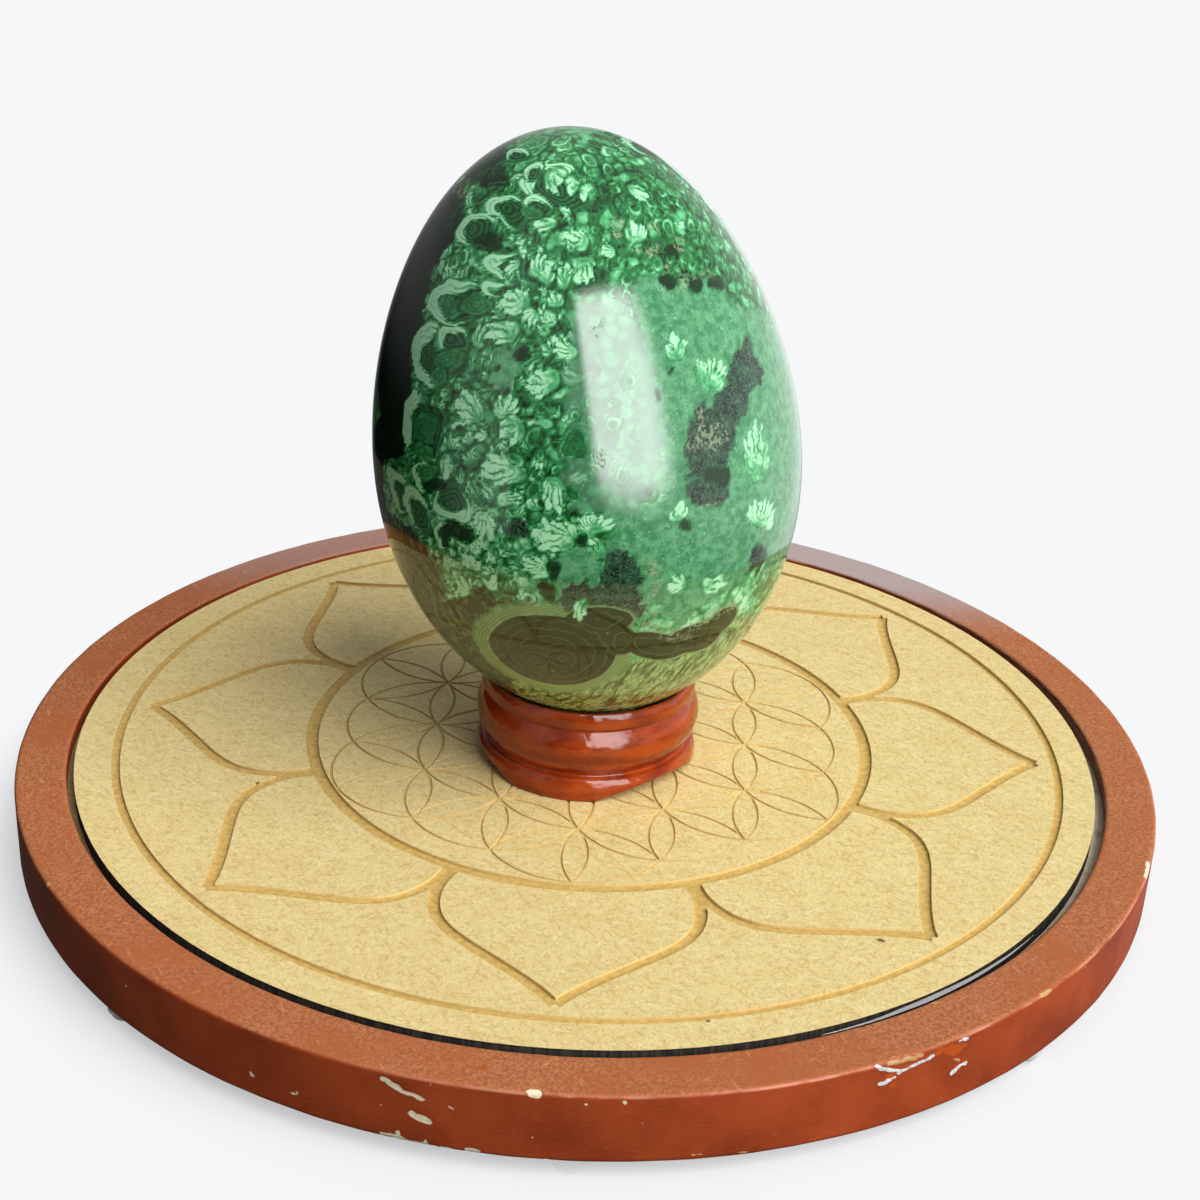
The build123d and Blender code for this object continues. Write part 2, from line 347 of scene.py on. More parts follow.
# Marks on the top and its edge, as turn, radius and height at both ends, and half width
top_marks = {
    "bare": [
        (-100.3, 110.9, 15.8, -100.2, 110.9, 15.8, 0.31), (-93.2, 110.9, 15.7, -92.7, 110.9, 15.6, 0.7),
        (-20.4, 110.7, 15.9, -23, 111.1, 15.7, 0.48), (-39.5, 111.1, 15, -39.3, 111.1, 15, 0.3),
        (98, 110.9, 15.7, 98.8, 110.9, 15.7, 0.45),
    ],
    "under": [(-97.7, 106.7, 16, -97.4, 106.3, 16, 0.47)],
    "wood": [
        (-55.4, 102.2, 16, -55, 102.3, 16, 0.37), (-46.4, 110.9, 15.7, -45.2, 111.1, 15.5, 0.41),
        (-151.4, 111, 15.6, -151, 111, 15.6, 0.3), (-146.6, 110.9, 15.7, -146.3, 110.9, 15.7, 0.36),
    ],
    "scratch": [(-112.8, 108.6, 16, -112, 106.2, 16, 0.16), (-57, 106, 16, -56.6, 109.5, 16, 0.12)],
}
ragged_at = frame_points + 0.16 * sway(frame_points, 1.7, 3)
marked = {}
for kind, marks in side_marks.items():
    on_side = [(turn_a, frame_r, high_a, turn_b, frame_r, high_b, half)
               for turn_a, high_a, turn_b, high_b, half in marks]
    marked[kind] = mark_depth(ragged_at, on_side + top_marks.get(kind, []))
# The coat is uneven; chips and bared undercoat lie lower than the paint, and flakes stand off it
frame_rise = 0.03 * ripple(frame_points, 9, 6) - 0.06 * ease_step(marked["bare"], -0.08, 0.12)
frame_rise += 0.16 * ease_step(marked["flake"], -0.15, 0.15) - 0.05 * ease_step(marked["under"], -0.1, 0.1)
frame_points += frame_rise[..., None] * frame_normals


def field(tree, name):
    """One number per point that the mesh carries."""
    return add_node(tree, "Attribute", attribute_name=name).outputs["Fac"]


paint, tree, shader = new_finish("frame_paint")
_, x, y, z = own_place(tree)
on_top = step(z, 0.0156, 0.01594)
brushed = grain(tree, 700, 3, (1, 1, 0.12))
cloudy = grain(tree, 55, 4)
side = between(step(cloudy, 0.3, 0.7), tint(138, 54, 24), tint(176, 76, 36))
side = between(step(brushed, 0.5, 0.72), side, tint(186, 96, 54), 0.4)
dusty = between(step(grain(tree, 1700, 4), 0.34, 0.66), tint(164, 94, 56), tint(196, 126, 84))
dusty = between(step(cloudy, 0.4, 0.75), dusty, tint(180, 100, 58))
hair_a = step(grain(tree, 2400, 1, (1, 9, 1), (0, 0, 0.5)), 0.68, 0.76)
hair_b = step(grain(tree, 2200, 1, (1, 7, 1), (0, 0, -0.9)), 0.68, 0.76)
dusty = between(sum_of("MAXIMUM", hair_a, hair_b), dusty, tint(226, 172, 122), 0.4)
coat = between(on_top, side, dusty)
# Painted highlight: a pale pink band along the rounded outer top edge, on the lit right side only
edge_highlight = times(step(z, 0.0153, 0.01562), step(z, 0.01596, 0.01572),
               step(grain(tree, 160, 4), 0.38, 0.6), step(x, -0.05, 0.0))
coat = between(edge_highlight, coat, tint(228, 164, 134), 0.6)
nick = times(step(field(tree, "scratch"), -0.06, 0.04), step(grain(tree, 900, 2), 0.36, 0.6))
coat = between(nick, coat, tint(204, 140, 104), 0.5)
# Painted reflection: the far part of the top is tinted pale mauve-grey as a sheen, strongest on the right
far_sheen = times(step(y, 0.05, 0.082), on_top, scaled(step(x, -0.06, 0.05), 0.42, 0.36))
coat = between(far_sheen, coat, tint(186, 178, 182))
coat = between(step(field(tree, "under"), -0.05, 0.12), coat, tint(188, 84, 30))
coat = between(step(field(tree, "wood"), -0.05, 0.08), coat, tint(210, 172, 116), 0.85)
cream = between(step(grain(tree, 1400, 3), 0.35, 0.65), tint(234, 222, 186), tint(250, 243, 218))
coat = between(step(field(tree, "bare"), -0.04, 0.08), coat, cream)
chalk = between(step(grain(tree, 1600, 2), 0.4, 0.6), tint(206, 208, 212), tint(244, 244, 244))
coat = between(step(field(tree, "flake"), -0.04, 0.08), coat, chalk)
worn = scaled(on_top, 0.2, 0.3)
fill_in(shader, {"Base Color": coat, "Specular IOR Level": 0.2,
                 "Roughness": scaled(grain(tree, 300, 3), 0.2, worn)})
relief(shader, grain(tree, 1300, 4), 0.00003)
frame_faces = grid_faces(*frame_points.shape[:2])
mesh_piece("painted_frame", frame_points, frame_faces, paint, "frame", "board_frame", **marked)

# Engraved disc: a round of yellow fibreboard, cut and engraved by laser, loose in the frame.
# Short fibres lie in it every way; the engraved floors are ochre, the fine lines carry painted shade towards
# the back left, and the cut edge is burnt black.
disc_low, disc_high = (np.array(corner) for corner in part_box("grid_disc"))
mid_x, mid_y = ((disc_low + disc_high) / 2)[:2].tolist()
top_z = float(disc_high[2])
board, tree, shader = new_finish("yellow_fibreboard")
own, x, y, z = own_place(tree)
yellow = between(step(grain(tree, 130, 4), 0.34, 0.66), tint(232, 209, 143), tint(237, 215, 151))
for turn, waves in ((0.2, 2100), (1.25, 2300), (2.3, 1900)):
    dark_hair = step(grain(tree, waves, 2, (4, 1, 1), (0, 0, turn)), 0.54, 0.68)
    yellow = between(dark_hair, yellow, tint(196, 160, 86), 0.36)
    pale_hair = step(grain(tree, waves * 0.9, 2, (5, 1, 1), (0, 0, turn + 0.5)), 0.56, 0.7)
    yellow = between(pale_hair, yellow, tint(252, 238, 192), 0.34)
cut_in = step(z, top_z - 0.00003, top_z - 0.0003)
# Painted shade: the fine engraved lines are darker towards the back left, behind the egg
back_left_shade = step(sum_of("SUBTRACT", y, x), -0.01, 0.05)
hairline = between(back_left_shade, tint(226, 194, 120), tint(150, 116, 58))
yellow = between(cut_in, yellow, hairline, 0.5)
ochre = between(step(grain(tree, 900, 3), 0.35, 0.65), tint(200, 162, 84), tint(220, 186, 110))
deep = step(z, top_z - 0.00042, top_z - 0.00056)
yellow = between(deep, yellow, ochre, 0.9)
specks = ((0.0513, -0.067, 0.0007), (0.0518, -0.0673, 0.0005), (0.0211, -0.0915, 0.0005),
          (-0.0623, -0.0246, 0.0006), (-0.0498, -0.0351, 0.0003))
for speck_x, speck_y, size in specks:
    away = distance(tree, "DISTANCE", own, (speck_x, speck_y, top_z))
    yellow = between(step(away, size, 0.4 * size), yellow, tint(70, 56, 24), 0.85)
side_x, side_y = sum_of("SUBTRACT", x, mid_x), sum_of("SUBTRACT", y, mid_y)
out = sum_of("SQRT", scaled(side_x, side_x, times(side_y, side_y)))
burnt = between(step(grain(tree, 1800, 2, (1, 1, 40)), 0.4, 0.62), tint(14, 11, 8), tint(52, 44, 32))
at_edge = times(step(out, 0.09975, 0.09992), step(z, top_z, top_z - 0.00012))
fill_in(shader, {"Base Color": between(at_edge, yellow, burnt), "Roughness": 0.62, "Specular IOR Level": 0.3})
facing = {0: times(deep, 0.75), 4: add_node(tree, "NewGeometry").outputs["Normal"], 5: (0, 0, 1)}
softer = add_node(tree, "Mix", facing, data_type="VECTOR").outputs[1]
relief(shader, grain(tree, 1300, 4), 0.00005, facing=softer)
dress(board, "grid_disc")

# Glint strip: a thin bright silver strip laid flat in the gap between disc and frame, at the front right, a
# painted reflection that makes the bright line seen there.
# It is pointed at both ends and widest a third of the way along.
sliver_turn = np.radians([-67.5, -65, -62, -58, -55, -52, -48, -44, -40.5, -39])
sliver_out = [101.46, 101.46, 101.44, 101.40, 101.35, 101.24, 101.08, 100.92, 100.72, 100.62]
sliver_in = [101.44, 101.2, 100.95, 100.4, 100.2, 100.26, 100.38, 100.46, 100.56, 100.6]
glint_thick = 0.06
glint_turn = np.linspace(sliver_turn[0], sliver_turn[-1], 90)[:, None]
glint_share = np.linspace(0, 1, 5)
glint_r = np.interp(glint_turn, sliver_turn, sliver_in) * (1 - glint_share)
glint_r += np.interp(glint_turn, sliver_turn, sliver_out) * glint_share
glint_z = frame_top - 0.14 - 0.25 * (glint_share - 0.5) ** 2 + 0.02 * np.sin(glint_turn * 60)
glint_face = np.stack([glint_r * np.cos(glint_turn), glint_r * np.sin(glint_turn), glint_z], -1)
glint_points = np.concatenate([glint_face, glint_face[:, ::-1] - [0, 0, glint_thick]], 1)
# Painted reflection: a near-white mirror finish, so that the strip reads as a bright line
glint_finish, tree, shader = new_finish("painted_glint")
glint_mottle = grain(tree, 900, 3)
silver = between(glint_mottle, tint(232, 234, 238), tint(252, 252, 252))
fill_in(shader, {"Base Color": silver, "Metallic": 1.0, "Roughness": scaled(glint_mottle, 0.15, 0.12)})
glint_at = np.arange(glint_points[..., 0].size).reshape(glint_points.shape[:2])
glint_faces = grid_faces(*glint_at.shape, open_rows=True)
glint_faces += [glint_at[0, ::-1].tolist(), glint_at[-1].tolist()]
sliver = mesh_piece("glint_sliver", glint_points, glint_faces, glint_finish, "frame", None)

# Ring stand: a turned wooden ring with a dished seat, a rim, a bead and a flange cut into three feet.
# Dipped in red-brown lacquer that is streaky, darker in patches and uneven in its gloss.
ring_place = (-0.5, -5.0, 16.0)
bead_z = np.linspace(14.5, 5.7, 26)
bead_r = 20.05 + 1.65 * (1 - ((bead_z - 10.1) / 4.6) ** 2)
bead = np.stack([bead_r, bead_z, np.zeros_like(bead_z)], -1)
upper = [(15.0, 0.0, 0.4), (15.0, 15.4, 0.5), (19.9, 18.4, 0.3), (20.4, 18.4, 0.3), (21.0, 16.6, 1.0),
         (20.7, 15.0, 0.25), (20.2, 14.75, 0.1)]
lower = [(19.8, 5.2, 0.2), (19.8, 4.8, 0.2), (20.8, 4.5, 0.4), (21.5, 2.4, 1.0), (21.4, 0.0, 0.35)]
ring_points, ring_normals = lathe(eased(np.vstack([upper, bead, lower])), columns=170, rows=360)
ring_rise = 0.035 * ripple(ring_points, 5, 11) + 0.02 * ripple(ring_points, 2, 12)
ring_points += ring_rise[..., None] * ring_normals
arch_half, arch_high, flange_high = 13.03, 3.0, 4.6
arch_r = (arch_half**2 + arch_high**2) / (2 * arch_high)
arch_lift = np.zeros(ring_points.shape[:2])
for arch_turn in np.radians([-47, 73, 193]):
    across = ring_points[..., 1] * np.cos(arch_turn) - ring_points[..., 0] * np.sin(arch_turn)
    ahead = ring_points[..., 0] * np.cos(arch_turn) + ring_points[..., 1] * np.sin(arch_turn)
    arch = np.sqrt(np.maximum(arch_r**2 - across**2, 0)) - (arch_r - arch_high)
    arch_lift = np.maximum(arch_lift, np.where(ahead > 0, arch, 0))
ring_points[..., 2] += arch_lift * np.clip(1 - ring_points[..., 2] / flange_high, 0, 1)
ring_points[..., 2] = np.maximum(ring_points[..., 2], 0)
ring_points += ring_place

lacquer, tree, shader = new_finish("red_lacquer")
streak = grain(tree, 130, 5, (1, 1, 0.3))
pool = grain(tree, 260, 4, (1, 1, 0.3))
red = between(step(streak, 0.34, 0.66), tint(130, 40, 4), tint(172, 66, 8))
red = between(step(pool, 0.52, 0.72), red, tint(78, 18, 3), 0.55)
fill_in(shader, {"Base Color": red, "Roughness": scaled(grain(tree, 260, 3), 0.14, 0.02), "IOR": 1.48})
relief(shader, grain(tree, 700, 3), 0.00012, 0.5)
ring_faces = grid_faces(*ring_points.shape[:2])
mesh_piece("turned_ring", ring_points, ring_faces, lacquer, "ring", "ring_stand")

# Egg: malachite, ground and polished from one lump, leaning in the ring's seat.
# Banded lobes and fern-like sprays on the left, plain jade green and slate on the right, a dark eye below;
# painted shade makes the far left flank near-black, and a painted glow lies beside the window's reflection.
egg_r, egg_top, egg_low = 39.5, 61.0, -49.2
egg_mid, egg_lean = np.array([-2.462, -5.0, 77.267]), np.radians(7.2)
egg_rows, egg_columns = 318, 308


def bezier(points, count):
    """Points along a cubic curve with two end points and two pulls."""
    t = np.linspace(0, 1, count)[:, None]
    a, b, c, d = np.array(points, float)
    return (1 - t) ** 3 * a + 3 * (1 - t) ** 2 * t * b + 3 * (1 - t) * t**2 * c + t**3 * d


quarter = 4 / 3 * (2**0.5 - 1)
egg_side = np.vstack([
    bezier([(0, egg_low), (quarter * egg_r, egg_low), (egg_r, quarter * egg_low), (egg_r, 0)], 600),
    bezier([(egg_r, 0), (egg_r, 0.444 * egg_top), (0.594 * egg_r, egg_top), (0, egg_top)], 600)[1:],
])
egg_run = np.r_[0, np.cumsum(np.linalg.norm(np.diff(egg_side, axis=0), axis=1))]
row_run = np.linspace(0, egg_run[-1], egg_rows + 2)[1:-1, None]
row_r, row_h = (np.interp(row_run, egg_run, egg_side[:, axis]) for axis in (0, 1))
# Columns stand closest together on the side that the photograph shows
share = np.arange(egg_columns) / egg_columns - 0.5
egg_turn = np.radians(-90 + 360 * (share - 0.55 * np.sin(2 * np.pi * share) / (2 * np.pi)))
egg_grid = np.broadcast_arrays(row_r * np.cos(egg_turn), row_r * np.sin(egg_turn), row_h)
stone = np.vstack([np.stack(egg_grid, -1).reshape(-1, 3), [[0, 0, egg_low], [0, 0, egg_top]]])
wavy = stone + 0.3 * sway(stone, 3.2, 21) + 0.7 * sway(stone, 11, 24)
crumbled = wavy + 0.45 * sway(stone, 1.5, 31)
calm = 0.75 * stone + 0.25 * wavy

# What every point of the stone carries: its light, how deep it lies in its form and how far from an edge,
# its finger and the width of the fingers there, how strongly it is banded, its hoop round the eye, its zones
tone = 0.5 + 0.07 * ripple(stone, 7, 27) + 0.05 * ripple(stone, 2.5, 28)
depth, band = np.zeros((2, len(stone)))
edge, finger, span, hoop = (np.full(len(stone), start) for start in (3.0, 0.5, 9.0, -9.0))
zone_names = ("jade", "window_glow", "slate", "eye", "halo", "fibre", "moss", "flank_shade", "fleck")
zones = {name: np.zeros(len(stone)) for name in zone_names}


def seen_from(turn, height, angle, reach, canvas=wavy):
    """Points near a place on the egg, by turn in degrees and height in mm, as distances along and across
    a line that leaves the place at the given angle: 0 runs round to the right, 90 straight up."""
    turn, angle = np.radians(turn), np.radians(angle)
    at = np.searchsorted(egg_side[:, 1], height)
    slope = unit(egg_side[min(at + 1, len(egg_side) - 1)] - egg_side[max(at - 1, 0)])
    outward = np.array([np.cos(turn), np.sin(turn), 0])
    radius = np.interp(height, egg_side[:, 1], egg_side[:, 0])
    away = canvas - (radius * outward + [0, 0, height])
    near = np.flatnonzero((away**2).sum(-1) < reach**2)
    right = away[near] @ np.array([-np.sin(turn), np.cos(turn), 0])
    up = away[near] @ (slope[0] * outward + [0, 0, slope[1]])
    return near, right * np.cos(angle) + up * np.sin(angle), up * np.cos(angle) - right * np.sin(angle)


def oval(along, across, long, short):
    """How far points lie inside an oval, in mm, and which way they lie from its middle:
    the first is one less the scaled distance, times the smaller half."""
    away = np.hypot(along / long, across / short)
    return (1 - away) * min(long, short), np.arctan2(across / short, along / long)


def lay(near, inside, new_tone, new_band=1.0, fan=None, width=None):
    """Lays a form over what is there: inside it the fields are its own, and outside it only the way
    to an edge shrinks."""
    on, off = inside > 0, inside <= 0
    covered = near[on]
    tone[covered] = new_tone[on]
    depth[covered] = edge[covered] = inside[on]
    band[covered] = new_band
    finger[covered] = 0.5 if fan is None else fan[on]
    span[covered] = 9.0 if width is None else width[on]
    for zone in zones.values():
        zone[covered] *= 1 - ease_step(inside[on], 0, 0.25)
    edge[near[off]] = np.minimum(edge[near[off]], -inside[off])


def lay_crest(turn, height, long, short, angle, opening):
    """Banded lobe: a pale rim that thins out towards its opening, round a dark heart."""
    near, along, across = seen_from(turn, height, angle, 1.5 * long + 1.5)
    inside, way = oval(along, across, long, short)
    closed = np.clip(0.62 - 0.8 * np.cos(way - np.radians(opening - angle)), 0, 1)
    rim = 0.16 + (0.42 * short) * closed
    pale = 1 - ease_step(inside, rim - 0.1, rim + 0.35)
    lay(near, inside, 0.22 + 0.76 * pale * (0.4 + 0.6 * closed), 1.7)


def lay_leaf(turn, height, long, wide, angle, fingers, bright=1.02):
    """Fern-like spray: fingers fan out from its foot, with a vein in each valley of its scalloped outline."""
    near, along, across = seen_from(turn, height, angle, 1.6 * max(long, wide) + 1.2)
    inside, _ = oval(along, across, long, wide)
    fan = (np.arctan2(across, along + 1.1 * long) + 0.8) / 1.6 * fingers
    valley = np.abs(fan - np.round(fan))
    inside = inside - 0.7 * min(long, wide) * (0.5 - valley) * ease_step(along, -0.8 * long, 0.4 * long)
    width = 1 + 1.2 * (1 - ease_step(along, -0.8 * long, 0.1 * long))
    lay(near, inside, bright - 0.5 * ease_step(-along, -0.5 * long, long), 0.6, fan, width)


def lay_ring(turn, height, radius, heart=0.36):
    """Small eye: a pale ring round a green middle, thin and dull on one side."""
    near, along, across = seen_from(turn, height, 40 * height, 1.5 * radius + 1.0)
    inside, way = oval(along, across, radius, 0.78 * radius)
    strong = 0.62 + 0.38 * np.cos(way)
    pale = 1 - ease_step(inside, 0.25 * radius * strong, 0.45 * radius * strong + 0.1)
    lay(near, inside, heart + (0.74 - heart) * strong * pale)


def lay_cell(turn, height, long, short, angle, middle, rim):
    """Plain cell with an even middle and a thin rim."""
    near, along, across = seen_from(turn, height, angle, 1.5 * long + 1.0)
    inside, _ = oval(along, across, long, short)
    lay(near, inside, middle + (rim - middle) * (1 - ease_step(inside, 0.15, 0.4)), 0.7)


def lay_zone(name, turn, height, long, short, angle):
    """Patch of another kind of stone, with a soft ragged edge; the eye's large oval has a halo."""
    canvas = calm if name == "eye" else crumbled
    near, along, across = seen_from(turn, height, angle, 1.5 * long + 2.0, canvas)
    inside, _ = oval(along, across, long, short)
    zones[name][near] = np.maximum(zones[name][near], ease_step(inside, -0.25, 0.25))
    if name == "eye":
        hoop[near] = np.maximum(hoop[near], inside)
        if long > 11:
            zones["halo"][near] = ease_step(inside, -3.2, -1.2)


# Small cells everywhere, sprays among the lobes, rings at the top, then forms on the hidden sides
luck = np.random.default_rng(5)


def drawn(count, *ranges):
    """So many seeded draws from each range, side by side."""
    return zip(*[luck.uniform(low, high, count) for low, high in ranges])


for turn, height, size, spread, angle, light in drawn(
    1100, (-180, 180), (-47, 60), (0.7, 1.9), (0.55, 1.0), (0, 180), (0, 1)
):
    lay_cell(turn, height, size, size * spread, angle, 0.2 + 0.36 * light**2, 0.42 + 0.28 * light)
front, hidden = 420, 760
sprays = front + hidden
for turn, height, size, spread, angle, light in zip(
    np.r_[luck.uniform(-142, -86, front), luck.uniform(-20, 190, hidden)],
    np.r_[luck.uniform(-16, 58, front), luck.uniform(-34, 58, hidden)],
    luck.uniform(1.0, 2.4, sprays), luck.uniform(0.65, 1.0, sprays),
    luck.normal(140, 60, sprays), luck.uniform(0.6, 1.0, sprays),
):
    lay_leaf(turn, height, size, size * spread, angle, 3 + round(size), light)
for turn, height, radius in drawn(150, (-76, 6), (36, 59), (0.6, 1.7)):
    lay_ring(turn, height, radius, 0.3)
for turn, height, radius in drawn(70, (-180, 180), (57, 60.7), (0.9, 2.4)):
    lay_ring(turn, height, radius, 0.44)
for turn, height, size, angle, kind in drawn(150, (-18, 198), (-44, 57), (2.2, 6.0), (0, 360), (0, 1)):
    if kind < 0.45:
        lay_crest(turn, height, size, 0.72 * size, angle, angle + 60)
    elif kind < 0.8:
        lay_leaf(turn, height, 0.7 * size, 0.55 * size, angle, 5)
    else:
        lay_zone("jade", turn, height, 1.5 * size, size, angle)

# The left flank is laid near-black as painted shade, then banded lobes beside it and their dark hearts:
# turn, height, long half, short half, angle, and a lobe's opening
flank = [
    (-162, 46, 12, 9, 90), (-160, 32, 13, 10, 90), (-163, 16, 12, 9, 90), (-165, 2, 12, 7, 90),
    (-148, 20, 10, 5, 90), (-176, 28, 14, 9, 90), (-184, 40, 18, 10, 90), (-186, 12, 18, 10, 90),
    (-196, 14, 14, 9, 90), (177, 56.7, 14, 3.4, 15), (-163, 58.6, 4.8, 2.4, -5),
]
crests = [
    (-91.6, 55.4, 7.1, 4.7, -25, -66), (-116.4, 51.8, 5.1, 3.1, -20, -15), (-101.8, 52.8, 3.1, 2.1, -22, -58),
    (-129.4, 48.9, 4.5, 3.1, -9, -22), (-112.4, 45.2, 4.1, 2.3, -6, 2), (-128.6, 38.8, 6.9, 4.4, 7, -7),
    (-113.6, 41.8, 3.9, 1.7, -7, -24), (-132.8, 30.2, 6.9, 5.3, 178, 3), (-127, 33.2, 3.4, 2.3, -2, -42),
    (-135.6, 18.6, 6.5, 5.5, 174, -1), (-134, 10.1, 4.2, 3.2, -138, -10), (-124.6, 6.1, 4.8, 3.2, 23, 85),
    (-127.6, -0.7, 2.8, 1.9, -130, -5), (-144.8, 4.9, 5.6, 3.3, 148, -34), (-137.4, 2.9, 5.1, 3.4, 131, -46),
    (-109, 57.2, 2.5, 2.2, 80, -53), (-121.8, 19.4, 1.5, 1.3, 65, -50), (-134.6, 59.3, 2.9, 2.2, -2, -46),
]
hearts = [
    (-129.4, 38.3, 2.8, 2.3, 154), (-120.8, 39, 3, 2.3, -7), (-127, 29.5, 3, 2.2, 6),
    (-129.2, 27.2, 2.2, 1.6, 8), (-133.4, 18.7, 3.7, 2.5, -164), (-134.6, 15.6, 3.5, 1.6, 14),
    (-104.4, 51.6, 2.2, 1.4, -8), (-133.4, 11, 2.9, 1.9, -157),
]
for patch in flank:
    lay_zone("flank_shade", *patch)
# The painted shade on the flank thins out towards the top
zones["flank_shade"] *= 1 - 0.3 * ease_step(stone[:, 2], 45, 55)
for crest in crests:
    lay_crest(*crest)
for heart in hearts:
    lay_cell(*heart, middle=0.34, rim=0.44)

# Other stone: plain jade, slate, the dark eye, and pale fibres and moss under it; and a painted glow, a
# grey-green haze beside the window's reflection
patches = {
    "jade": [
        (-57, 22, 20, 8, 90), (-48, 16, 24, 16, 90), (-60, -4, 17, 11, 0), (-24, 6, 24, 17, 90),
        (-48.4, 32.2, 10.3, 6.2, -23), (-59.4, 37.3, 4.6, 4, 12), (-61.6, 26.5, 6.6, 5.9, 69),
        (-34.4, 20.6, 6.5, 5, 84), (-65, 19.5, 5.6, 2.8, 80), (-41, 4.4, 9, 5, 86),
        (-63, -3.6, 11.2, 5.2, -24), (-53.6, -10.2, 5.8, 3.4, -34), (-61.8, -9.3, 9.6, 6.4, -34),
        (-66.8, -15, 4.2, 2.8, 114), (-108.4, 29.9, 3.3, 2.6, 66), (-91.8, -4.6, 4.7, 3.6, 52),
        (-79.4, 3.5, 4.4, 1.6, -9), (-79.2, -3, 3.6, 3, -21),
    ],
    # painted glow: a grey-green haze beside the window's reflection
    "window_glow": [(-79.5, 22, 18, 8, 88), (-88.2, 13, 8, 3, 85)],
    "slate": [
        (-37.6, 22.6, 6.2, 2.6, 30), (-33, 21.4, 4.6, 2.2, -15), (-44.8, 18.2, 5.6, 3.6, 28),
        (-39.8, -11.8, 4.2, 2.4, 136), (-89, -10.6, 7.4, 3.2, -5), (-54.4, 12.7, 6.5, 4.6, 83),
        (-57.2, 4.8, 4.9, 2.3, -29), (-81.8, -6.2, 5, 3.5, 91), (-82.8, -12.2, 4.7, 4.3, -40),
        (-81.4, -4.7, 3.2, 2.6, -19), (-103.8, 2.9, 1.7, 1.4, 18),
    ],
    "fibre": [
        (-113.2, -32.8, 14, 6.7, 13), (-73.8, -31.2, 11.5, 6.2, -14), (-50.4, -32.6, 10.5, 6.7, -39),
        (-36.2, -29.6, 12.1, 4.6, 138), (-90, -40, 16, 8, 0), (-20, -38, 14, 7, 0),
    ],
    "moss": [
        (-115.6, -14.7, 8.6, 2.8, 24), (-126.2, -16.2, 8.6, 4.4, 43), (-130, -25, 12, 9, 90),
        (-150, -30, 14, 12, 0), (-150, -10, 12, 10, 0),
    ],
    "eye": [
        (-103, -22.9, 11.8, 9.8, 8), (-82.2, -20.4, 4.1, 2.8, -84), (-72.2, -23.2, 7.8, 3.4, -30),
        (-59.4, -23.9, 6.4, 3.9, -18), (-50.2, -21.9, 3.8, 3, -4), (-88, -15.2, 6.4, 3.2, -7),
    ],
}
for name, ovals in patches.items():
    for patch in ovals:
        lay_zone(name, *patch)
overlaps = (
    ("jade", "slate"), ("halo", "slate"), ("halo", "jade"), ("moss", "halo"), ("fibre", "halo"),
    ("fibre", "eye"), ("moss", "eye"), ("jade", "eye"), ("slate", "eye"), ("halo", "eye"),
)
for under, over in overlaps:
    zones[under] *= 1 - zones[over]
for curl in ((-108, -24.6), (-99.6, -23.9)):
    near, along, across = seen_from(*curl, 0, 5.5, calm)
    hoop[near] = np.minimum(hoop[near], 1.2 * np.hypot(along, across) + 0.5)

